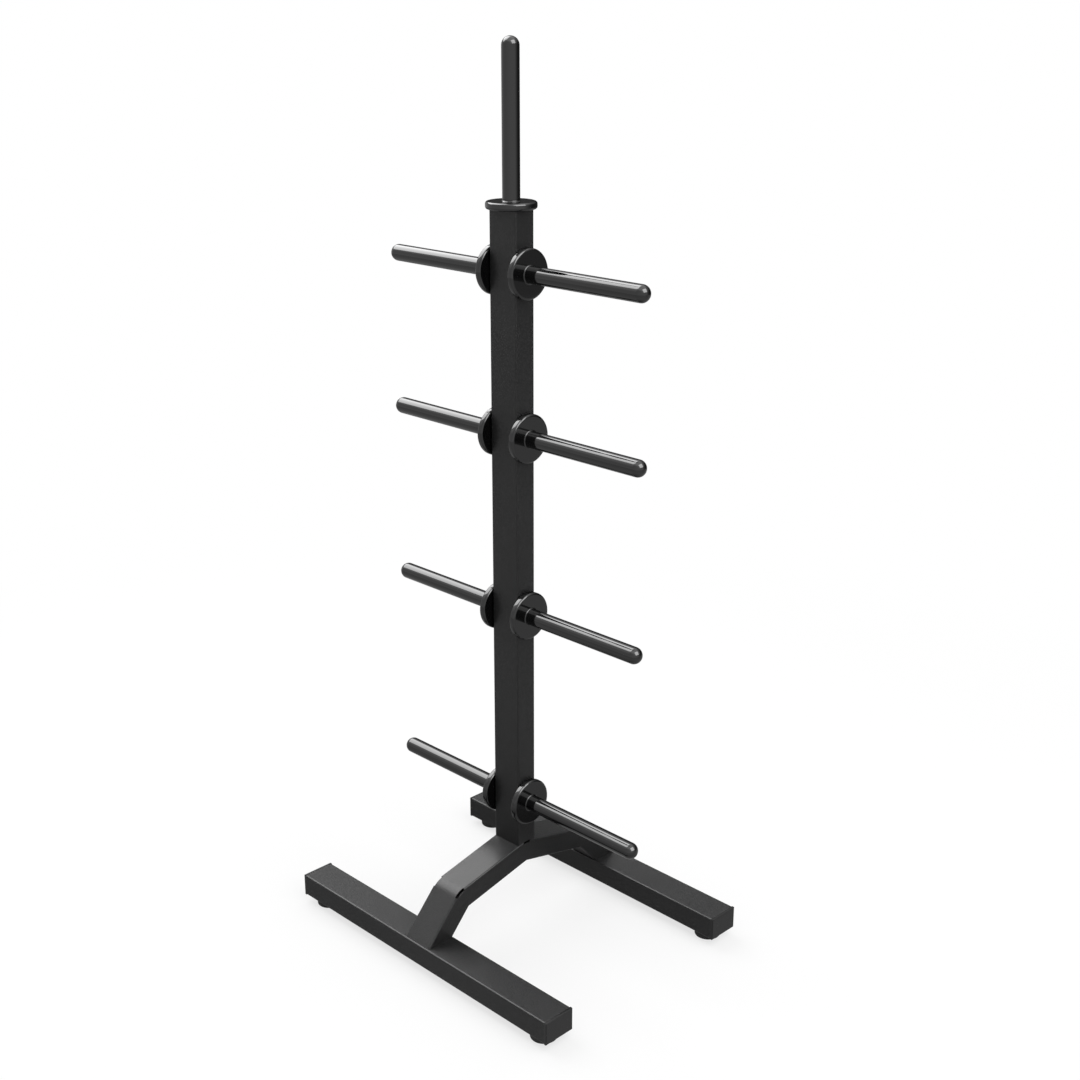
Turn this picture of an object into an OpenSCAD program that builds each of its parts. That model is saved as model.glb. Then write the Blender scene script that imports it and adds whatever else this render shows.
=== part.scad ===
// Plate tree: a free-standing stand for weight plates, with nine horns on a folded tube base.
// Millimetres. X runs along the horns, Y from the front foot to the rear foot, Z up.
// The origin is on the floor, under the upright's axis.

/* [Tube stock] */
// Broad side of the rectangular tube that every frame piece is cut from
tube_w = 60; // [50:1:80]
// Narrow side of the tube
tube_d = 40; // [34:1:50]
// Wall of the tube
tube_wall = 2; // [1.5:0.25:3]
// Outer corner radius of the tube
tube_corner = 3; // [2:0.25:5]

/* [Feet] */
// Length of each foot tube, without its caps
foot_len = 615; // [500:5:800]
// Distance between the centre lines of the two feet
foot_spacing = 412; // [360:2:520]

/* [End caps] */
// Thickness of the part of a cap that stands outside the tube
cap_t = 5; // [3:0.5:8]
// Rounding of the cap's outer edges
cap_edge = 1.5; // [0.5:0.25:2]
// Length of the hollow plug inside the tube
cap_plug_len = 16; // [10:1:18]
// Wall of the plug
cap_wall = 2; // [1.5:0.25:2.5]
// Height of the grip fins above the plug's wall
cap_fin_reach = 2.5; // [1.5:0.25:3.5]
// Thickness of a grip fin
cap_fin_t = 1.4; // [1:0.1:2]

/* [Pads] */
// Diameter of a pad
pad_d = 45; // [38:1:54]
// Height of a pad, from the floor to the foot
pad_h = 15; // [12:0.5:20]
// Rounding of the pad's lower edge
pad_edge = 2; // [0.5:0.5:3]
// Distance of a pad's axis from the end of the foot tube
pad_inset = 30; // [28:1:80]
// Diameter of the recess that hides the screw head
pad_recess_d = 20; // [18:0.5:24]
// Depth of that recess
pad_recess_h = 8; // [6:0.5:9]

/* [Bridge] */
// Slope of the legs against the floor
leg_angle = 47.5; // [42:0.5:60]
// Slope of the two halves of the crown
crown_angle = 12.5; // [8:0.5:18]
// Height of the side folds above the feet, at the tube's outer face
leg_rise = 79.5; // [70:0.5:100]
// Outer radius of every fold
bend_r = 35; // [25:1:38]
// How far a relief slit reaches past the tube's rounded corner, on both faces
slit_margin = 1.25; // [0.25:0.25:2]

/* [Upright] */
// Height of the upright's top above the floor
upright_top_z = 1265; // [1240:5:1500]
// Thickness of the plate that closes the upright
top_plate_t = 6; // [4:0.5:10]

/* [Horns] */
// Diameter of a horn
horn_d = 28; // [24:0.5:32]
// Free length of a horn, from its collar to its tip
horn_len = 243; // [150:1:300]
// How much smaller in radius the horn's locating spigot is, inside the collar's neck
spigot_step = 0.5; // [0.25:0.25:1.5]
// Distance of the highest pair of horns below the upright's top
top_drop = 97; // [60:1:130]
// Distance from the first pair of horns down to the second
gap_1_2 = 264; // [200:1:300]
// Distance from the second pair down to the third
gap_2_3 = 306; // [220:1:330]
// Distance from the third pair down to the fourth
gap_3_4 = 348.5; // [240:0.5:360]

/* [Collars] */
// Diameter of a collar
collar_d = 81.5; // [60:0.5:90]
// Thickness of a collar
collar_t = 12; // [10:0.5:16]
// Rounding of both edges of a collar
collar_edge = 4; // [1:0.25:4.5]
// Height of the collar's filleted neck, and the radius of that fillet
neck_h = 2; // [0.5:0.25:4]

/* [Fasteners] */
// Diameter of the studs that hold the horns
stud_d = 12; // [8:1:14]
// Depth of the tapped bore in a horn
bore_depth = 30; // [20:1:45]
// Space left between a stud's end and the bottom of its bore
stud_end_gap = 2; // [1:0.5:5]
// Diameter of the screws that hold the pads
pad_screw_d = 8; // [5:1:8]
// Radial clearance of a thread
thread_gap = 0.1; // [0.05:0.05:0.2]
// Radial clearance of a drilled hole
drill_gap = 0.5; // [0.25:0.25:1]
// Clearance of a piece that slides into another, on each side
slide_gap = 0.15; // [0.1:0.05:0.3]

/* [Hidden] */
LEVELS = [1, 2, 3, 4];
FOOT_NAMES = ["front", "rear"];
SIDE_NAMES = ["left", "right"];
FRAME_NODES = ["upright_tube", "bridge_tube", "front_foot_tube", "rear_foot_tube"];
TOP_NODES = ["top_plate", "top_nut", "stud_top", "collar_top", "horn_top"];
$fn = 64;

frame_black = "#2c2c2e";
gloss_black = "#18181a";
cap_black = "#353537";
rubber_black = "#262626";
zinc = "#b4b8be";

// How far a cutting solid reaches past what it cuts
over = 1;
far = 400;

// Tube section
inner_corner = max(tube_corner - tube_wall, 0.25);
bore_w = tube_w - 2 * tube_wall;
bore_d = tube_d - 2 * tube_wall;

// Feet
foot_top_z = pad_h + tube_d;
foot_axis_z = pad_h + tube_d / 2;
pad_x = foot_len / 2 - pad_inset;

// Bridge: the outer face of a leg lands where the foot's flat top ends
toe_y = foot_spacing / 2 + tube_w / 2 - tube_corner;
shoulder_y = toe_y - leg_rise / tan(leg_angle);
shoulder_z = foot_top_z + leg_rise;
crown_z = shoulder_z + shoulder_y * tan(crown_angle);
mitre_tilt = (leg_angle + crown_angle) / 2;
side_fold = leg_angle - crown_angle;
crown_fold = 2 * crown_angle;
slit_reach = tube_corner + slit_margin;
// Each fold: its outer mitre point in Y and Z, the tilt of its mitre plane, its angle
FOLDS = [
    [-shoulder_y, shoulder_z, -mitre_tilt, side_fold],
    [0, crown_z, 0, crown_fold],
    [shoulder_y, shoulder_z, mitre_tilt, side_fold]
];

// Horns and what holds them
level_z = [
    upright_top_z - top_drop,
    upright_top_z - top_drop - gap_1_2,
    upright_top_z - top_drop - gap_1_2 - gap_2_3,
    upright_top_z - top_drop - gap_1_2 - gap_2_3 - gap_3_4
];
stud_reach = bore_depth - stud_end_gap;
stud_chamfer = 1;
stud_hole_r = stud_d / 2 + drill_gap;
tapped_r = stud_d / 2 + thread_gap;

// Nut and screw proportions of common hardware
function nut_flats(d) = 1.6 * d;
function nut_height(d) = 0.85 * d;
function head_d(d) = 1.9 * d;
function head_h(d) = 0.55 * d;
pad_web = pad_h - pad_recess_h;
foot_floor_z = pad_h + tube_wall;

// Rectangle with round corners, centred
module round_rect(w, d, r) {
    square([w - 2 * r, d], center = true);
    square([w, d - 2 * r], center = true);
    for (x = [-1, 1], y = [-1, 1])
        translate([x * (w / 2 - r), y * (d / 2 - r)])
            circle(r);
}

// Solid form of the tube's outside
module tube_outside() {
    round_rect(tube_w, tube_d, tube_corner);
}

// Solid form of the tube's hollow, less a clearance for what slides into it
module tube_hollow(gap = 0) {
    round_rect(bore_w - 2 * gap, bore_d - 2 * gap, inner_corner);
}

// Puts a shape drawn in Y and Z across the part, along X
module across(width) {
    rotate([90, 0, 90])
        linear_extrude(width, center = true)
            children();
}

// Puts a shape at a point of the bridge's side view, tilted with its tube
module at_side_view(y, z, tilt) {
    translate([0, y, z])
        rotate([-tilt, 0, 0])
            children();
}

// One arm of a side fold in the fold's own frame: a straight tube that ends at the mitre
// plane Y = 0, with its outer face through the origin
module fold_arm(hollow) {
    intersection() {
        rotate([side_fold / 2, 0, 0])
            translate([0, -far, 0])
                rotate([-90, 0, 0])
                    linear_extrude(2 * far)
                        translate([0, tube_d / 2])
                            if (hollow) tube_hollow(); else tube_outside();
        translate([-tube_w, -2 * far, -2 * far])
            cube([2 * tube_w, 2 * far, 4 * far]);
    }
}

// Wedge of a fold outside a given radius, about the centre that the fold bends round
module fold_wedge(fold, radius) {
    reach = bend_r + tube_d;
    half_width = reach * tan(fold / 2);
    difference() {
        polygon([[0, 0], [half_width, reach], [-half_width, reach]]);
        circle(radius, $fn = 128);
    }
}

// The same wedge at every fold of the bridge, as a cutting solid of the given width
module fold_cuts(radius, width) {
    for (f = FOLDS)
        at_side_view(f[0], f[1], f[2])
            translate([0, 0, -bend_r / cos(f[3] / 2)])
                across(width)
                    fold_wedge(f[3], radius);
}

// Half of the bridge, on the rear foot's side, as its outside or as its hollow. The two
// arms of the side fold mirror each other, and are trimmed at the crown and at the foot.
module bridge_half(hollow) {
    low_z = hollow ? foot_top_z - over : foot_top_z;
    intersection() {
        at_side_view(shoulder_y, shoulder_z, mitre_tilt) {
            fold_arm(hollow);
            mirror([0, 1, 0])
                fold_arm(hollow);
        }
        translate([-tube_w, 0, low_z])
            cube([2 * tube_w, 2 * far, far]);
    }
}

// The bridge's outside, or its hollow, with the outer face bent round every fold
module bridge_form(hollow) {
    radius = hollow ? bend_r - tube_wall : bend_r;
    difference() {
        union() {
            bridge_half(hollow);
            mirror([0, 1, 0])
                bridge_half(hollow);
        }
        fold_cuts(radius, tube_w + 2 * over);
    }
}

// Tube notched on its underside and folded three times. The corner material along both
// edges of every fold is slit away, so that the outer wall bends as a flat strip.
module bridge_tube() {
    slit_x = tube_w / 2 + over / 2 - slit_reach / 2;
    color(frame_black)
        difference() {
            bridge_form(false);
            bridge_form(true);
            for (side = [-1, 1])
                translate([side * slit_x, 0, 0])
                    fold_cuts(bend_r - slit_reach, slit_reach + over);
        }
}

// The crown's outer face as a bed that the upright's foot is cut to
module crown_bed() {
    side = tube_d;
    side_drop = side * tan(crown_angle);
    peak = bend_r / cos(crown_angle);
    translate([0, 0, crown_z - peak])
        across(tube_w + 2 * over)
            difference() {
                polygon([
                    [0, peak],
                    [side, peak - side_drop],
                    [side, -tube_d],
                    [-side, -tube_d],
                    [-side, peak - side_drop]
                ]);
                fold_wedge(crown_fold, bend_r);
            }
}

// Upright with its foot cut to the crown, and drilled through for the studs
module upright_tube() {
    foot_z = crown_z - tube_d / 2 * tan(crown_angle) - over;
    color(frame_black)
        difference() {
            translate([0, 0, foot_z])
                linear_extrude(upright_top_z - foot_z)
                    difference() {
                        tube_outside();
                        tube_hollow();
                    }
            crown_bed();
            for (z = level_z)
                translate([0, 0, z])
                    rotate([0, 90, 0])
                        cylinder(h = tube_w + 2 * over, r = stud_hole_r, center = true);
        }
}

module foot_tube(y) {
    color(frame_black)
        translate([0, y, foot_axis_z])
            difference() {
                across(foot_len)
                    round_rect(tube_w, tube_d, tube_corner);
                across(foot_len + 2 * over)
                    tube_hollow();
                for (x = [-1, 1])
                    translate([x * pad_x, 0, -tube_d / 2 - over])
                        cylinder(h = tube_wall + 2 * over, r = pad_screw_d / 2 + drill_gap);
            }
}

// Outline of a cap's outer part seen along one of its edges, rounded at the outer face
module cap_edge_view(span) {
    translate([0, -span / 2])
        square([cap_t - cap_edge, span]);
    translate([0, cap_edge - span / 2])
        square([cap_t, span - 2 * cap_edge]);
    for (end = [-1, 1])
        translate([cap_t - cap_edge, end * (span / 2 - cap_edge)])
            circle(cap_edge);
}

// End cap on the +X end of a tube, with the tube's end plane at X = 0
module end_cap() {
    core_w = bore_w - 2 * cap_fin_reach;
    core_d = bore_d - 2 * cap_fin_reach;
    fin_pitch = cap_plug_len / 3;
    intersection() {
        linear_extrude(tube_d, center = true)
            cap_edge_view(tube_w);
        rotate([90, 0, 0])
            linear_extrude(tube_w + over, center = true)
                cap_edge_view(tube_d);
    }
    translate([-cap_plug_len, 0, 0])
        rotate([90, 0, 90])
            difference() {
                linear_extrude(cap_plug_len + cap_t / 2)
                    round_rect(core_w, core_d, inner_corner);
                translate([0, 0, -over])
                    linear_extrude(cap_plug_len + over)
                        square([core_w - 2 * cap_wall, core_d - 2 * cap_wall], center = true);
            }
    for (i = [0:2])
        translate([-cap_plug_len + i * fin_pitch, 0, 0])
            rotate([90, 0, 90])
                linear_extrude(cap_fin_t)
                    difference() {
                        tube_hollow(slide_gap);
                        square([core_w - cap_wall, core_d - cap_wall], center = true);
                    }
}

// Half of a round pad's section, recessed from below for the screw head
module pad_section() {
    r = pad_d / 2;
    difference() {
        union() {
            square([r - pad_edge, pad_h]);
            translate([0, pad_edge])
                square([r, pad_h - pad_edge]);
            translate([r - pad_edge, pad_edge])
                circle(pad_edge);
        }
        translate([-over, -over])
            square([pad_recess_d / 2 + over, pad_recess_h + over]);
        translate([-over, 0])
            square([pad_screw_d / 2 + drill_gap + over, pad_h + over]);
    }
}

module pad(x, y) {
    color(rubber_black)
        translate([x, y, 0])
            rotate_extrude()
                pad_section();
}

module at_every_pad() {
    for (x = [-1, 1], y = [-1, 1])
        translate([x * pad_x, y * foot_spacing / 2, 0])
            children();
}

// Button-head screw that holds a pad, with a hexagon socket
module pad_screw() {
    head_r = head_d(pad_screw_d) / 2;
    head = head_h(pad_screw_d);
    shank = pad_web + tube_wall + nut_height(pad_screw_d);
    difference() {
        union() {
            translate([0, 0, pad_recess_h - head])
                cylinder(h = head, r1 = head_r * 0.8, r2 = head_r);
            translate([0, 0, pad_recess_h])
                cylinder(h = shank, r = pad_screw_d / 2);
        }
        translate([0, 0, pad_recess_h - head - over])
            cylinder(h = head / 2 + over, r = pad_screw_d / 3, $fn = 6);
    }
}

module pad_screws() {
    color(zinc)
        at_every_pad()
            pad_screw();
}

// Hexagon nut with a plain bore in place of the thread, standing on Z = 0
module nut(d) {
    difference() {
        cylinder(h = nut_height(d), d = nut_flats(d) / cos(30), $fn = 6);
        translate([0, 0, -over])
            cylinder(h = nut_height(d) + 2 * over, r = d / 2 + thread_gap);
    }
}

module pad_nuts() {
    color(zinc)
        at_every_pad()
            translate([0, 0, foot_floor_z])
                nut(pad_screw_d);
}

// Horn standing on its collar at Z = 0: spigot, shaft, hemispherical end, tapped bore
module horn() {
    r = horn_d / 2;
    color(gloss_black)
        difference() {
            rotate_extrude($fn = 96) {
                square([r - spigot_step, neck_h]);
                translate([0, neck_h])
                    square([r, horn_len - r - neck_h]);
                translate([0, horn_len - r])
                    intersection() {
                        circle(r);
                        square([r, r]);
                    }
            }
            translate([0, 0, -over])
                cylinder(h = bore_depth + over, r = tapped_r);
        }
}

// Section of a collar's neck, which runs flush from the horn into the collar's face
module neck_section() {
    flare_r = horn_d / 2 + neck_h;
    inner_r = horn_d / 2 - spigot_step + slide_gap;
    difference() {
        square([flare_r, neck_h]);
        translate([flare_r, neck_h])
            circle(neck_h);
        translate([-over, -over])
            square([inner_r + over, neck_h + 2 * over]);
    }
}

// Round collar lying on Z = 0, both edges rounded, drilled for the stud
module collar() {
    r = collar_d / 2;
    color(gloss_black)
        rotate_extrude($fn = 128) {
            difference() {
                union() {
                    square([r - collar_edge, collar_t]);
                    translate([0, collar_edge])
                        square([r, collar_t - 2 * collar_edge]);
                    for (z = [collar_edge, collar_t - collar_edge])
                        translate([r - collar_edge, z])
                            circle(collar_edge);
                }
                translate([-over, -over])
                    square([stud_hole_r + over, collar_t + 2 * over]);
            }
            translate([0, collar_t])
                neck_section();
        }
}

// Threaded stud from Z = 0 up, chamfered at both ends
module stud(length) {
    r = stud_d / 2;
    color(zinc)
        rotate_extrude()
            polygon([
                [0, 0],
                [r - stud_chamfer, 0],
                [r, stud_chamfer],
                [r, length - stud_chamfer],
                [r - stud_chamfer, length],
                [0, length]
            ]);
}

// Puts a piece that stands on Z = 0 against one side face of the upright
module on_side(side, level, out) {
    translate([side * (tube_w / 2 + out), 0, level_z[level - 1]])
        rotate([0, side * 90, 0])
            children();
}

module through_stud(level) {
    half = tube_w / 2 + collar_t + stud_reach;
    translate([-half, 0, level_z[level - 1]])
        rotate([0, 90, 0])
            stud(2 * half);
}

module top_plate() {
    color(frame_black)
        translate([0, 0, upright_top_z - top_plate_t])
            difference() {
                linear_extrude(top_plate_t)
                    tube_hollow(slide_gap);
                translate([0, 0, -over])
                    cylinder(h = top_plate_t + 2 * over, r = tapped_r);
            }
}

module top_nut() {
    color(zinc)
        translate([0, 0, upright_top_z - top_plate_t - nut_height(stud_d)])
            nut(stud_d);
}

module stud_top() {
    below = top_plate_t + nut_height(stud_d);
    translate([0, 0, upright_top_z - below])
        stud(below + collar_t + stud_reach);
}

upright_tube();
bridge_tube();
foot_tube(-foot_spacing / 2);  // front_foot_tube
foot_tube(foot_spacing / 2);  // rear_foot_tube

for (foot = [0, 1], side = [0, 1]) {
    name = str(FOOT_NAMES[foot], "_", SIDE_NAMES[side]);
    y = (2 * foot - 1) * foot_spacing / 2;
    x = 2 * side - 1;
    color(cap_black)
            translate([x * foot_len / 2, y, foot_axis_z])
                rotate([0, 0, 90 - x * 90])
                    end_cap();
    pad(x * pad_x, y);
}
pad_screws();
pad_nuts();

for (level = LEVELS) {
    through_stud(level);
    for (side = [0, 1]) {
        name = str(SIDE_NAMES[side], "_", level);
        x = 2 * side - 1;
        on_side(x, level, 0) collar();
        on_side(x, level, collar_t) horn();
    }
}

top_plate();
top_nut();
stud_top();
translate([0, 0, upright_top_z]) collar();  // collar_top
translate([0, 0, upright_top_z + collar_t]) horn();  // horn_top
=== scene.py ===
"""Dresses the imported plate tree: spun horns, collars and pads, procedural finishes, and a
pale studio with the camera of the reference view.

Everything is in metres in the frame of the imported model, whose floor is Z = 0, whose feet
run along X and whose front is -Y.
"""

from math import pi, radians

import bmesh
import bpy
from mathutils import Matrix, Vector


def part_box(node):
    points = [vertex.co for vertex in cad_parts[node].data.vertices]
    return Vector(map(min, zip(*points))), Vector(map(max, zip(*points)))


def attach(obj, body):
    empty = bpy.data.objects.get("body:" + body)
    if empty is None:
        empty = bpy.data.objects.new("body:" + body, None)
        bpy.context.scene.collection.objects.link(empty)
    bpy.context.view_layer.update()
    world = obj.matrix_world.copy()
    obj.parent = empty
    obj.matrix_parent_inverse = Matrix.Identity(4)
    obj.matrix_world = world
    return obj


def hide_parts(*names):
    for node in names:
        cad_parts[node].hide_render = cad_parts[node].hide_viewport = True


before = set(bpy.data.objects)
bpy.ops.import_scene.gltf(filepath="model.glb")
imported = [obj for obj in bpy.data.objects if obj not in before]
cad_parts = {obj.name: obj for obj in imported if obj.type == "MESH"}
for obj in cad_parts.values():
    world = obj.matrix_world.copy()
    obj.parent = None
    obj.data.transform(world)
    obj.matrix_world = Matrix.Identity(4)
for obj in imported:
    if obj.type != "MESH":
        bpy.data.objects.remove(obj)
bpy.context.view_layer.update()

bl_info = {
    "name": "Plate Tree",
    "version": (1, 0, 0),
    "blender": (4, 5, 0),
    "location": "3D View > Sidebar > Plate Tree",
    "description": "Dresses a plate tree: horns, collars, pads, frame and studio",
    "category": "Object",
}

BODY = "root"
LEVELS = (1, 2, 3, 4)
SIDES = {"left": -1, "right": 1}
CORNERS = ("front_left", "front_right", "rear_left", "rear_right")


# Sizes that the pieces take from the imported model

HORN_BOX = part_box("horn_right_1")
COLLAR_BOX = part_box("collar_right_1")
PAD_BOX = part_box("front_left_pad")
HORN_RADIUS = (HORN_BOX[1].z - HORN_BOX[0].z) / 2
COLLAR_RADIUS = (COLLAR_BOX[1].z - COLLAR_BOX[0].z) / 2
PAD_RADIUS = (PAD_BOX[1].x - PAD_BOX[0].x) / 2

# A collar's neck stands this far out of its face, round the foot of its horn
NECK_HEIGHT = 0.002

# Points of a spun piece that are closer than this become one, which closes its poles
MERGE_DISTANCE = 1e-6

# Edges of the softboxes as gloss shows them, across and up, as tangents of angles
RIGHT_SOFTBOX_EDGES = (-0.366, 0.473), (-0.445, 0.306)
LEFT_SOFTBOX_EDGES = (-0.473, 0.405), (-0.344, 0.466)
SOFTBOX_EDGE_BAND = 0.07

# The spill round a softbox: its share of the brightness, how much wider it is than the
# softbox, and the soft bands across and up
SPILL_SHARE = 0.09
SPILL_SPREAD = 2.0
SPILL_BANDS = (0.4, 0.35)

# How much brighter the surroundings are at the right end and at the front than in the middle
RISE_TO_RIGHT = 0.23
RISE_TO_FRONT = 0.1

FLOOR_RADIUS = 6.0


class PlateTreeSizes(bpy.types.PropertyGroup):
    """Sizes of the spun pieces"""

    spigot_step: bpy.props.FloatProperty(
        name="Spigot Step",
        description="Step from the horn's shaft down to its spigot",
        default=0.0005,
        min=0.0001,
        unit="LENGTH",
    )
    bore_radius: bpy.props.FloatProperty(
        name="Tapped Bore Radius",
        description="Radius of the tapped bore in the horn's foot",
        default=0.0061,
        min=0.001,
        unit="LENGTH",
    )
    bore_depth: bpy.props.FloatProperty(
        name="Tapped Bore Depth",
        description="Depth of the tapped bore in the horn's foot",
        default=0.03,
        min=0.001,
        unit="LENGTH",
    )
    collar_edge: bpy.props.FloatProperty(
        name="Collar Edge Radius",
        description="Rounding of both rims of a collar",
        default=0.004,
        min=0.0005,
        unit="LENGTH",
    )
    collar_hole: bpy.props.FloatProperty(
        name="Collar Hole Radius",
        description="Radius of the stud's hole through a collar",
        default=0.0065,
        min=0.001,
        unit="LENGTH",
    )
    slide_gap: bpy.props.FloatProperty(
        name="Slide Gap",
        description="Clearance round the horn's spigot in the collar's neck",
        default=0.00015,
        min=0.00001,
        unit="LENGTH",
    )
    pad_edge: bpy.props.FloatProperty(
        name="Pad Edge Radius",
        description="Rounding of a pad's lower edge",
        default=0.002,
        min=0.0005,
        unit="LENGTH",
    )
    recess_radius: bpy.props.FloatProperty(
        name="Pad Recess Radius",
        description="Radius of the screw head's recess in a pad",
        default=0.01,
        min=0.002,
        unit="LENGTH",
    )
    recess_depth: bpy.props.FloatProperty(
        name="Pad Recess Depth",
        description="Depth of the screw head's recess in a pad",
        default=0.008,
        min=0.001,
        unit="LENGTH",
    )
    screw_hole: bpy.props.FloatProperty(
        name="Pad Hole Radius",
        description="Radius of the screw's hole through a pad",
        default=0.0045,
        min=0.001,
        unit="LENGTH",
    )
    turns: bpy.props.IntProperty(
        name="Steps per Turn",
        description="Steps of a full spin",
        default=96,
        min=24,
        max=256,
    )


def colour_property(name, description, default):
    return bpy.props.FloatVectorProperty(
        name=name,
        description=description,
        default=default,
        size=3,
        min=0.0,
        max=1.0,
        subtype="COLOR",
    )


def roughness_property(name, default):
    return bpy.props.FloatProperty(
        name=name,
        description="Mean roughness, which the grain varies",
        default=default,
        min=0.0,
        max=1.0,
        subtype="FACTOR",
    )


class PlateTreeFinishes(bpy.types.PropertyGroup):
    """Colours and roughness of the finishes"""

    coat_colour: colour_property(
        "Powder Coat", "Matt black coat of the frame", (0.0054, 0.0054, 0.0055)
    )
    coat_roughness: roughness_property("Powder Coat Roughness", 0.50)
    gloss_colour: colour_property(
        "Gloss Black", "Gloss lacquer of the horns and collars", (0.0010, 0.0010, 0.0011)
    )
    gloss_roughness: roughness_property("Gloss Black Roughness", 0.07)
    plastic_colour: colour_property(
        "Cap Plastic", "Moulded plastic of the end caps", (0.0042, 0.0042, 0.0043)
    )
    plastic_roughness: roughness_property("Cap Plastic Roughness", 0.16)
    rubber_colour: colour_property(
        "Pad Rubber", "Rubber of the foot pads", (0.011, 0.011, 0.011)
    )
    rubber_roughness: roughness_property("Pad Rubber Roughness", 0.72)
    zinc_colour: colour_property(
        "Zinc Plate", "Bright zinc of the studs, screws and nuts", (0.62, 0.64, 0.67)
    )
    zinc_roughness: roughness_property("Zinc Plate Roughness", 0.32)


class PlateTreeStudio(bpy.types.PropertyGroup):
    """Camera and light of the stage"""

    camera_place: bpy.props.FloatVectorProperty(
        name="Camera Place",
        description="Where the camera stands",
        default=(1.76559, -1.70219, 1.57901),
        size=3,
        subtype="TRANSLATION",
        unit="LENGTH",
    )
    camera_dip: bpy.props.FloatProperty(
        name="Camera Dip",
        description="Angle that the camera looks down",
        default=0.335864,
        subtype="ANGLE",
        unit="ROTATION",
    )
    camera_turn: bpy.props.FloatProperty(
        name="Camera Turn",
        description="Angle of the camera about the vertical",
        default=0.785595,
        subtype="ANGLE",
        unit="ROTATION",
    )
    lens: bpy.props.FloatProperty(
        name="Lens",
        description="Focal length in millimetres on a sensor 36 mm wide",
        default=52.2,
        min=10.0,
    )
    softbox_size: bpy.props.FloatProperty(
        name="Softbox Size",
        description="Side of each square softbox",
        default=3.5,
        min=0.1,
        unit="LENGTH",
    )
    softbox_distance: bpy.props.FloatProperty(
        name="Softbox Distance",
        description="Distance of each softbox from the middle of the tree",
        default=4.0,
        min=1.0,
        unit="LENGTH",
    )
    soft_light: bpy.props.FloatProperty(
        name="Soft Light",
        description="Brightness of both softboxes as they light matt colour",
        default=2.0,
        min=0.0,
    )
    fill: bpy.props.FloatProperty(
        name="Fill",
        description="Brightness of the surroundings as they light matt colour",
        default=0.68,
        min=0.0,
    )
    left_gloss: bpy.props.FloatProperty(
        name="Left Softbox in Reflections",
        description="Brightness of the left softbox as gloss shows it",
        default=7.6,
        min=0.0,
    )
    right_gloss: bpy.props.FloatProperty(
        name="Right Softbox in Reflections",
        description="Brightness of the right softbox as gloss shows it",
        default=8.6,
        min=0.0,
    )


# Shader graphs


class Wire:
    """An output socket that takes part in arithmetic: each operator adds its Math node"""

    def __init__(self, tree, socket):
        self.tree = tree
        self.socket = socket

    def maths(self, operation, *values):
        settings = {"operation": operation}
        return add_node(self.tree, "ShaderNodeMath", settings, dict(enumerate(values)))

    def __add__(self, other):
        return self.maths("ADD", self, other)

    def __sub__(self, other):
        return self.maths("SUBTRACT", self, other)

    def __rsub__(self, other):
        return self.maths("SUBTRACT", other, self)

    def __mul__(self, other):
        return self.maths("MULTIPLY", self, other)

    def __truediv__(self, other):
        return self.maths("DIVIDE", self, other)

    __radd__ = __add__
    __rmul__ = __mul__

    def root(self):
        return self.maths("SQRT", self)

    def at_least(self, low):
        return self.maths("MAXIMUM", self, low)

    def ramp(self, low, high, to_low=0.0, to_high=1.0):
        """A smooth step of this value from one range to another"""
        values = {"Value": self, 1: low, 2: high, 3: to_low, 4: to_high}
        return add_node(
            self.tree, "ShaderNodeMapRange", {"interpolation_type": "SMOOTHSTEP"}, values
        )


def add_node(tree, kind, settings=None, values=None, out=0):
    """Adds a node, sets its settings, then its sockets' values or links"""
    node = tree.nodes.new(kind)
    for name, setting in (settings or {}).items():
        setattr(node, name, setting)
    for key, value in (values or {}).items():
        if isinstance(value, Wire):
            tree.links.new(value.socket, node.inputs[key])
        else:
            node.inputs[key].default_value = value
    return Wire(tree, node.outputs[out]) if node.outputs else None


def separate(tree, vector):
    """The three parts of a vector"""
    parts = add_node(tree, "ShaderNodeSeparateXYZ", None, {0: vector})
    return [Wire(tree, socket) for socket in parts.socket.node.outputs]


def mix_colours(tree, factor, first, second):
    """A colour between two others"""
    values = {0: factor, 6: (*first, 1.0), 7: (*second, 1.0)}
    return add_node(tree, "ShaderNodeMix", {"data_type": "RGBA"}, values, out=2)


def noise(tree, place, scale, detail=2.0, roughness=0.5):
    """Noise with features about 1 / scale metres across"""
    values = {"Vector": place, "Scale": scale, "Detail": detail, "Roughness": roughness}
    return add_node(tree, "ShaderNodeTexNoise", None, values)


def scaled(colour, share):
    """A colour made darker or lighter by a share"""
    return tuple(c * share for c in colour)


def ray_kinds(tree):
    """Whether a ray comes from the camera and whether it is glossy, each 0 or 1"""
    camera = add_node(tree, "ShaderNodeLightPath", out="Is Camera Ray")
    glossy = add_node(tree, "ShaderNodeLightPath", out="Is Glossy Ray")
    return camera, glossy


def new_material(name):
    """An empty material and its node tree"""
    material = bpy.data.materials.new(name)
    material.use_nodes = True
    material.node_tree.nodes.clear()
    return material, material.node_tree


def object_place(tree):
    return add_node(tree, "ShaderNodeTexCoord", out="Object")


def bump(tree, height, strength, distance):
    values = {"Height": height, "Strength": strength, "Distance": distance}
    return add_node(tree, "ShaderNodeBump", None, values)


def surface(tree, values):
    """Ends a material in a Principled shader with these socket values"""
    shader = add_node(tree, "ShaderNodeBsdfPrincipled", None, values)
    add_node(tree, "ShaderNodeOutputMaterial", None, {"Surface": shader})


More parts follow.
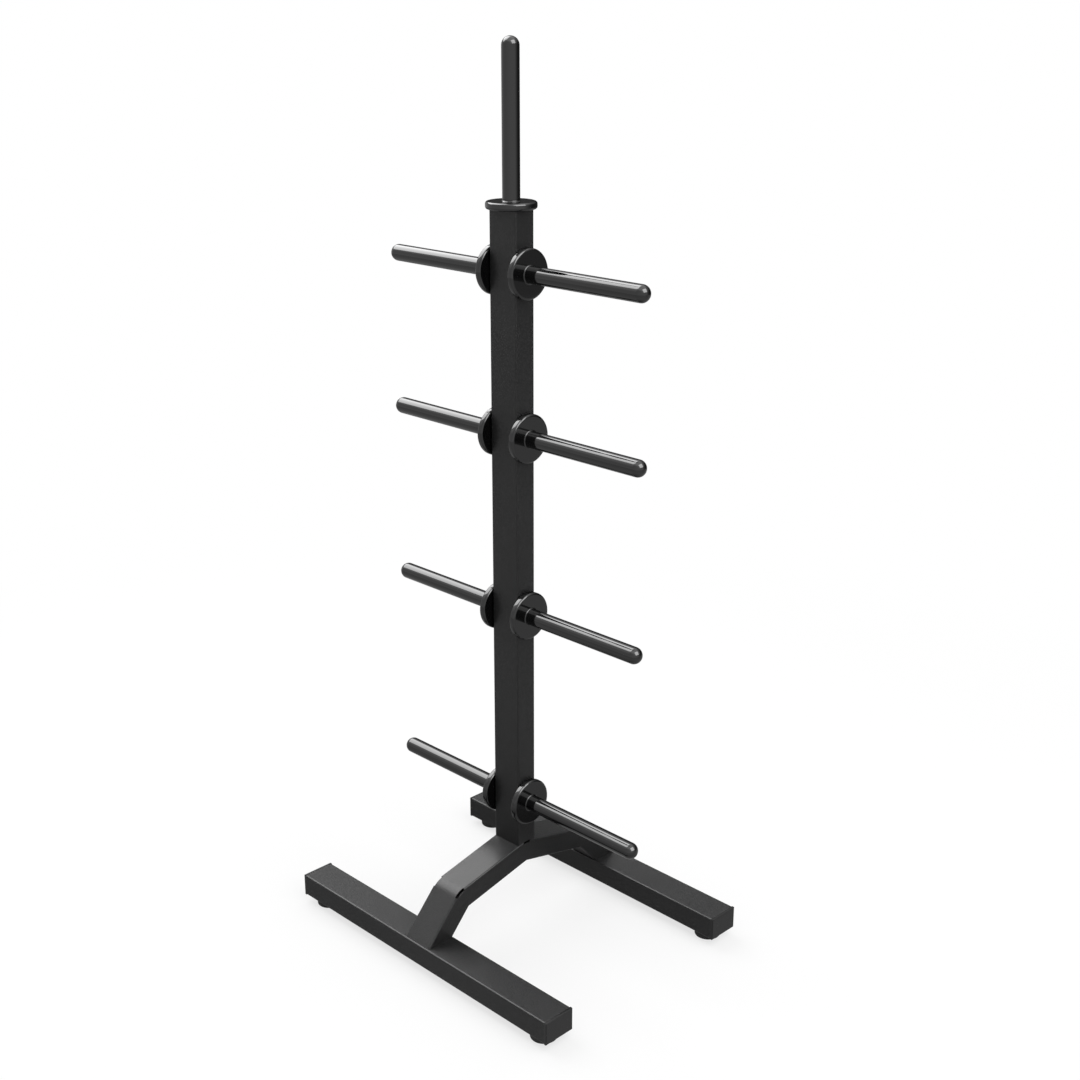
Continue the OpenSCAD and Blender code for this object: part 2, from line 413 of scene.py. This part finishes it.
def powder_coat(finishes):
    """Fine-texture powder coat: a tight pebbled grain over a soft orange peel"""
    material, tree = new_material("fine_texture_powder_coat")
    place = object_place(tree)
    grain = noise(tree, place, 480.0, detail=2.0, roughness=0.6)
    peel = noise(tree, place, 260.0, detail=2.0, roughness=0.6)
    broad = noise(tree, place, 11.0, detail=3.0)
    shade = 0.65 * grain + 0.35 * broad
    colour = finishes.coat_colour
    surface(tree, {
        "Base Color": mix_colours(
            tree, shade.ramp(0.3, 0.7), scaled(colour, 0.7), scaled(colour, 1.35)
        ),
        "Roughness": finishes.coat_roughness + 0.16 * (grain - 0.5) + 0.10 * (broad - 0.5),
        "Specular IOR Level": 0.18,
        "Coat Weight": grain.ramp(0.36, 0.64, 0.15, 0.31),
        "Coat Roughness": 0.24,
        "Normal": bump(tree, 0.5 * grain + 0.5 * peel, 1.0, 0.0004),
    })
    return material


def gloss_black(finishes):
    """Gloss lacquer: deep black, a faint peel and a little handling haze"""
    material, tree = new_material("gloss_black_lacquer")
    place = object_place(tree)
    peel = noise(tree, place, 160.0, detail=1.0)
    haze = noise(tree, place, 24.0, detail=4.0, roughness=0.6)
    colour = finishes.gloss_colour
    surface(tree, {
        "Base Color": mix_colours(tree, haze, scaled(colour, 0.85), scaled(colour, 1.15)),
        "Roughness": finishes.gloss_roughness + 0.03 * haze.ramp(0.4, 0.75),
        "Specular IOR Level": 0.5,
        "Normal": bump(tree, peel, 0.15, 0.00005),
    })
    return material


def cap_plastic(finishes):
    """Moulded plastic with a spark-eroded grain"""
    material, tree = new_material("moulded_cap_plastic")
    place = object_place(tree)
    grain = noise(tree, place, 1100.0, detail=2.0, roughness=0.55)
    broad = noise(tree, place, 30.0, detail=2.0)
    colour = finishes.plastic_colour
    surface(tree, {
        "Base Color": mix_colours(tree, broad, scaled(colour, 0.85), scaled(colour, 1.2)),
        "Roughness": finishes.plastic_roughness + 0.12 * (grain - 0.5),
        "Specular IOR Level": 0.4,
        "Normal": bump(tree, grain, 0.3, 0.00008),
    })
    return material


def pad_rubber(finishes):
    """Matt rubber with a fine pitted skin and a dusty bloom"""
    material, tree = new_material("pad_rubber")
    place = object_place(tree)
    pits = noise(tree, place, 900.0, detail=3.0, roughness=0.65)
    bloom = noise(tree, place, 55.0, detail=4.0, roughness=0.6)
    colour = finishes.rubber_colour
    surface(tree, {
        "Base Color": mix_colours(
            tree, bloom.ramp(0.35, 0.7), scaled(colour, 0.8), scaled(colour, 1.5)
        ),
        "Roughness": finishes.rubber_roughness + 0.15 * (bloom - 0.5),
        "Specular IOR Level": 0.35,
        "Normal": bump(tree, pits, 0.5, 0.0002),
    })
    return material


def zinc_plate(finishes):
    """Bright zinc plate with fine turning marks and cloudy patches"""
    material, tree = new_material("bright_zinc_plate")
    place = object_place(tree)
    cloud = noise(tree, place, 120.0, detail=4.0, roughness=0.6)
    marks = noise(tree, place, 1500.0, detail=1.0)
    colour = finishes.zinc_colour
    surface(tree, {
        "Base Color": mix_colours(tree, cloud, scaled(colour, 0.82), scaled(colour, 1.08)),
        "Metallic": 1.0,
        "Roughness": finishes.zinc_roughness + 0.2 * (cloud - 0.5),
        "Normal": bump(tree, marks, 0.2, 0.0001),
    })
    return material


FINISHES = {
    "powder_coat": powder_coat,
    "gloss_black": gloss_black,
    "cap_plastic": cap_plastic,
    "rubber": pad_rubber,
    "zinc": zinc_plate,
}


def finish(slot):
    """The material of a slot, made at its first use"""
    made = bpy.data.materials.get(f"finish_{slot}")
    if made is None:
        made = FINISHES[slot](bpy.context.scene.plate_tree_finishes)
        made.name = f"finish_{slot}"
    return made


# Spun pieces


class Section:
    """Half of a turned piece's section, drawn in X and Z and spun about Z"""

    def __init__(self, x, z):
        self.mesh = bmesh.new()
        self.first = self.mesh.verts.new((x, 0.0, z))
        self.tip = self.first

    def line(self, x, z):
        """Extrudes the tip to a point"""
        made = bmesh.ops.extrude_vert_indiv(self.mesh, verts=[self.tip])
        self.tip = made["verts"][0]
        self.tip.co = (x, 0.0, z)
        return self

    def arc(self, x, z, angle, steps=8):
        """Swings the tip about a centre, from X towards Z where the angle is positive"""
        made = bmesh.ops.spin(
            self.mesh,
            geom=[self.tip],
            cent=(x, 0.0, z),
            axis=(0.0, -1.0, 0.0),
            angle=angle,
            steps=steps,
        )
        self.tip = next(v for v in made["geom_last"] if isinstance(v, bmesh.types.BMVert))
        return self

    def close(self):
        self.mesh.edges.new((self.tip, self.first))
        return self

    def spin(self, steps):
        """Spins the section a full turn and closes its poles"""
        bm = self.mesh
        bmesh.ops.spin(
            bm,
            geom=bm.verts[:] + bm.edges[:],
            cent=(0.0, 0.0, 0.0),
            axis=(0.0, 0.0, 1.0),
            angle=2 * pi,
            steps=steps,
            use_merge=True,
        )
        bmesh.ops.remove_doubles(bm, verts=bm.verts, dist=MERGE_DISTANCE)
        bmesh.ops.recalc_face_normals(bm, faces=bm.faces)
        return bm


def smooth_but_for_edges(bm, angle=radians(30)):
    """Smooth shading, kept sharp at edges over an angle"""
    for face in bm.faces:
        face.smooth = True
    for edge in bm.edges:
        edge.smooth = edge.calc_face_angle(0.0) < angle


def add_piece(name, bm, place, slot, *nodes):
    """Makes a piece of a copy of a mesh, moved to its place, that rides on the tree"""
    bm = bm.copy()
    bmesh.ops.transform(bm, matrix=place, verts=bm.verts)
    mesh = bpy.data.meshes.new(name)
    bm.to_mesh(mesh)
    bm.free()
    piece = bpy.data.objects.new(name, mesh)
    bpy.context.scene.collection.objects.link(piece)
    mesh.materials.append(finish(slot))
    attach(piece, BODY)
    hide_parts(*nodes)


def standing_places(piece, out):
    """Node names of a piece at every level and side and on top, each with the matrix
    that stands it on its seat, a distance out from the upright"""
    for level in LEVELS:
        for side, x in SIDES.items():
            low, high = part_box(f"collar_{side}_{level}")
            seat = min(abs(low.x), abs(high.x)) + out
            move = Matrix.Translation((x * seat, 0.0, (low.z + high.z) / 2))
            yield f"{piece}_{side}_{level}", move @ Matrix.Rotation(x * pi / 2, 4, "Y")
    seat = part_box("collar_top")[0].z + out
    yield f"{piece}_top", Matrix.Translation((0.0, 0.0, seat))


def collar_thickness():
    return COLLAR_BOX[1].x - COLLAR_BOX[0].x - NECK_HEIGHT


class PLATETREE_OT_horns(bpy.types.Operator):
    """Spin the nine horns, each with its spigot, tapped bore and hemispherical end"""

    bl_idname = "platetree.horns"
    bl_label = "Spin Horns"

    def execute(self, context):
        sizes = context.scene.plate_tree_sizes
        r = HORN_RADIUS
        length = HORN_BOX[1].x - HORN_BOX[0].x
        spigot = r - sizes.spigot_step
        section = Section(0.0, sizes.bore_depth)
        section.line(sizes.bore_radius, sizes.bore_depth).line(sizes.bore_radius, 0.0)
        section.line(spigot, 0.0).line(spigot, NECK_HEIGHT).line(r, NECK_HEIGHT)
        section.line(r, 0.5 * length).line(r, length - r)
        section.arc(0.0, length - r, pi / 2, steps=24)
        bm = section.spin(sizes.turns)
        smooth_but_for_edges(bm)
        for node, place in standing_places("horn", collar_thickness()):
            add_piece(f"spun_{node}", bm, place, "gloss_black", node)
        bm.free()
        return {"FINISHED"}


class PLATETREE_OT_collars(bpy.types.Operator):
    """Spin the nine collars, each with rounded rims and a filleted neck for its horn"""

    bl_idname = "platetree.collars"
    bl_label = "Spin Collars"

    def execute(self, context):
        sizes = context.scene.plate_tree_sizes
        r = COLLAR_RADIUS
        thick = collar_thickness()
        edge = sizes.collar_edge
        neck = HORN_RADIUS - sizes.spigot_step + sizes.slide_gap
        flare = HORN_RADIUS + NECK_HEIGHT
        # A narrow flat ring beside each curve keeps the shading of the flat faces flat
        margin = 0.0004
        section = Section(sizes.collar_hole, 0.0)
        section.line(r - edge - margin, 0.0).line(r - edge, 0.0)
        section.arc(r - edge, edge, pi / 2)
        section.line(r, thick - edge)
        section.arc(r - edge, thick - edge, pi / 2)
        section.line(r - edge - margin, thick).line(flare + margin, thick).line(flare, thick)
        section.arc(flare, thick + NECK_HEIGHT, -pi / 2)
        section.line(neck, thick + NECK_HEIGHT).line(neck, thick)
        section.line(sizes.collar_hole, thick).close()
        bm = section.spin(sizes.turns)
        smooth_but_for_edges(bm)
        for node, place in standing_places("collar", 0.0):
            add_piece(f"spun_{node}", bm, place, "gloss_black", node)
        bm.free()
        return {"FINISHED"}


class PLATETREE_OT_pads(bpy.types.Operator):
    """Spin the four foot pads, each rounded below and recessed for its screw's head"""

    bl_idname = "platetree.pads"
    bl_label = "Spin Pads"

    def execute(self, context):
        sizes = context.scene.plate_tree_sizes
        r = PAD_RADIUS
        height = PAD_BOX[1].z
        edge = sizes.pad_edge
        recess = sizes.recess_radius
        chamfer = 0.0006
        section = Section(sizes.screw_hole, height)
        section.line(r, height).line(r, edge)
        section.arc(r - edge, edge, -pi / 2, steps=6)
        section.line(recess + chamfer, 0.0).line(recess, chamfer)
        section.line(recess, sizes.recess_depth)
        section.line(sizes.screw_hole, sizes.recess_depth).close()
        bm = section.spin(sizes.turns)
        smooth_but_for_edges(bm)
        for corner in CORNERS:
            low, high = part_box(f"{corner}_pad")
            place = Matrix.Translation(((low.x + high.x) / 2, (low.y + high.y) / 2, 0.0))
            add_piece(f"spun_{corner}_pad", bm, place, "rubber", f"{corner}_pad")
        bm.free()
        return {"FINISHED"}


class PLATETREE_OT_frame(bpy.types.Operator):
    """Give the frame, caps and fasteners their finishes"""

    bl_idname = "platetree.frame"
    bl_label = "Finish Frame"

    def execute(self, context):
        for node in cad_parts.values():
            for slot in node.material_slots:
                if slot.material.name in FINISHES:
                    slot.material = finish(slot.material.name)
        return {"FINISHED"}


# Stage


def aim(place, target):
    """The matrix of a lamp at a place that shines at a target"""
    turn = (Vector(target) - Vector(place)).to_track_quat("-Z", "Y")
    return Matrix.Translation(place) @ turn.to_matrix().to_4x4()


def add_softbox(name, side, studio):
    """A square softbox, 45 degrees up on one side, that lights matt colour"""
    middle = Vector((0.0, 0.0, 0.75))
    out = Vector((side, 0.0, 1.0)).normalized()
    lamp = bpy.data.lights.new(name, "AREA")
    lamp.shape = "SQUARE"
    lamp.size = studio.softbox_size
    lamp.energy = studio.soft_light * pi * studio.softbox_size**2
    box = bpy.data.objects.new(name, lamp)
    box.matrix_world = aim(middle + studio.softbox_distance * out, middle)
    box.visible_camera = False
    box.visible_glossy = False
    bpy.context.scene.collection.objects.link(box)


def between(value, low, high, soft):
    """1 between two bounds of a value, fading out over a soft band across each"""
    half = soft / 2
    return value.ramp(low - half, low + half) * value.ramp(high - half, high + half, 1.0, 0.0)


def softbox_in_gloss(x, y, z, edges, brightness):
    """The image of a softbox 45 degrees up towards X, with the faint spill round it"""
    across, up = edges
    towards = (x + z).at_least(0.01)
    u = 2**0.5 * y / towards
    v = (z - x) / towards
    panel = between(u, *across, SOFTBOX_EDGE_BAND) * between(v, *up, SOFTBOX_EDGE_BAND)
    band_across, band_up = SPILL_BANDS
    spill = between(u / SPILL_SPREAD, *across, band_across) * between(v, *up, band_up)
    return brightness * ((1.0 - SPILL_SHARE) * panel + SPILL_SHARE * spill)


def rise(x, y):
    """How much brighter the surroundings are towards a level place than in the middle"""
    return RISE_TO_RIGHT * x - RISE_TO_FRONT * y


def studio_world(studio):
    """White for the camera; for gloss, white in front, dark behind, dimmest low down behind
    on the left, and bright above"""
    world = bpy.data.worlds.new("studio")
    world.use_nodes = True
    tree = world.node_tree
    tree.nodes.clear()
    way = add_node(tree, "ShaderNodeTexCoord", out="Generated")
    x, y, z = separate(tree, way)
    level = (x * x + y * y + 0.0001).root()
    right = x / level
    back = y / level
    behind = back.ramp(0.1, 0.95) * z.ramp(0.7, 0.94, 1.0, 0.0)
    darkness = behind * z.ramp(0.2, 0.7, 0.92, 0.3)
    corner = back.ramp(0.3, 0.7) * right.ramp(-0.7, -0.3, 1.0, 0.0)
    low_corner = corner * z.ramp(0.3, 0.65, 1.0, 0.0)
    gloss = (1.0 + rise(x, y) / level) * (1.0 - darkness) * (1.0 - 0.72 * low_corner)
    gloss = gloss + 1.6 * z.ramp(0.6, 0.92)
    gloss = gloss + softbox_in_gloss(x, y, z, RIGHT_SOFTBOX_EDGES, studio.right_gloss)
    gloss = gloss + softbox_in_gloss(-1.0 * x, y, z, LEFT_SOFTBOX_EDGES, studio.left_gloss)
    camera, shiny = ray_kinds(tree)
    strength = camera + (1.0 - camera) * (shiny * gloss + (1.0 - shiny) * studio.fill)
    shader = add_node(
        tree, "ShaderNodeBackground", None,
        {"Color": (1.0, 1.0, 1.0, 1.0), "Strength": strength},
    )
    add_node(tree, "ShaderNodeOutputWorld", None, {"Surface": shader})
    world.cycles.sampling_method = "NONE"
    bpy.context.scene.world = world


def floor_material():
    """Pale floor: matt white that keeps the shadow, lifted to white for the camera; for gloss
    it glows with painted shade, dimmer near the tree, at the back and far out behind on the
    left, and with painted light towards the right and the front"""
    material, tree = new_material("pale_floor")
    place = object_place(tree)
    mottle = noise(tree, place, 3.0, detail=3.0)
    matt = add_node(tree, "ShaderNodeBsdfDiffuse", None, {
        "Color": mix_colours(tree, mottle, (0.89, 0.89, 0.89), (0.92, 0.92, 0.92)),
    })
    camera, shiny = ray_kinds(tree)
    away = add_node(tree, "ShaderNodeVectorMath", {"operation": "LENGTH"}, {0: place}, "Value")
    x, y, _ = separate(tree, place)
    white = away.ramp(0.8, 2.2, 0.7, 1.0)
    # Painted shade in the floor's glow as gloss shows it: dimmer near the tree as a painted
    # shadow of the tree, dimmer at the back and far out behind on the left, and painted light
    # brighter towards the right and the front
    gloss = away.ramp(0.3, 1.0, 0.46, 0.72) * y.ramp(-0.2, 0.9, 1.0, 0.8)
    gloss = gloss * (y - x).ramp(1.5, 5.0, 1.0, 0.4)
    gloss = gloss * (1.0 + rise(x, y) / (away + 0.01))
    lit = add_node(tree, "ShaderNodeEmission", None, {
        "Color": (1.0, 1.0, 1.0, 1.0), "Strength": camera + shiny * gloss
    })
    share = camera * white + shiny
    both = add_node(tree, "ShaderNodeMixShader", None, {0: share, 1: matt, 2: lit})
    add_node(tree, "ShaderNodeOutputMaterial", None, {"Surface": both})
    return material


def add_floor():
    bm = bmesh.new()
    bmesh.ops.create_circle(bm, cap_ends=True, segments=96, radius=FLOOR_RADIUS)
    mesh = bpy.data.meshes.new("floor")
    bm.to_mesh(mesh)
    bm.free()
    mesh.materials.append(floor_material())
    floor = bpy.data.objects.new("floor", mesh)
    bpy.context.scene.collection.objects.link(floor)


def add_camera(studio):
    lens = bpy.data.cameras.new("camera")
    lens.sensor_width = 36.0
    lens.lens = studio.lens
    lens.clip_start = 0.05
    camera = bpy.data.objects.new("camera", lens)
    camera.location = studio.camera_place
    camera.rotation_euler = (pi / 2 - studio.camera_dip, 0.0, studio.camera_turn)
    bpy.context.scene.collection.objects.link(camera)
    bpy.context.scene.camera = camera


class PLATETREE_OT_stage(bpy.types.Operator):
    """Build the studio: floor, softboxes, surroundings and camera"""

    bl_idname = "platetree.stage"
    bl_label = "Build Studio"

    def execute(self, context):
        studio = context.scene.plate_tree_studio
        add_floor()
        add_softbox("left_softbox", -1.0, studio)
        add_softbox("right_softbox", 1.0, studio)
        studio_world(studio)
        add_camera(studio)
        context.scene.view_settings.view_transform = "Standard"
        return {"FINISHED"}


class PLATETREE_PT_sidebar(bpy.types.Panel):
    """Steps that dress the plate tree, in order"""

    bl_label = "Plate Tree"
    bl_idname = "PLATETREE_PT_sidebar"
    bl_space_type = "VIEW_3D"
    bl_region_type = "UI"
    bl_category = "Plate Tree"

    def draw(self, context):
        layout = self.layout
        for step in STEPS:
            layout.operator(step.bl_idname)
        for name in GROUPS:
            group = getattr(context.scene, name)
            box = layout.box()
            for prop in group.bl_rna.properties:
                if not prop.is_readonly and prop.identifier != "name":
                    box.prop(group, prop.identifier)


GROUPS = {
    "plate_tree_sizes": PlateTreeSizes,
    "plate_tree_finishes": PlateTreeFinishes,
    "plate_tree_studio": PlateTreeStudio,
}
STEPS = (
    PLATETREE_OT_horns,
    PLATETREE_OT_collars,
    PLATETREE_OT_pads,
    PLATETREE_OT_frame,
    PLATETREE_OT_stage,
)


def register():
    for cls in (*GROUPS.values(), *STEPS, PLATETREE_PT_sidebar):
        bpy.utils.register_class(cls)
    for name, group in GROUPS.items():
        setattr(bpy.types.Scene, name, bpy.props.PointerProperty(type=group))


def unregister():
    for name in GROUPS:
        delattr(bpy.types.Scene, name)
    for cls in reversed((*GROUPS.values(), *STEPS, PLATETREE_PT_sidebar)):
        bpy.utils.unregister_class(cls)


def main():
    register()
    bpy.ops.platetree.horns()
    bpy.ops.platetree.collars()
    bpy.ops.platetree.pads()
    bpy.ops.platetree.frame()
    bpy.ops.platetree.stage()


if __name__ == "__main__":
    main()
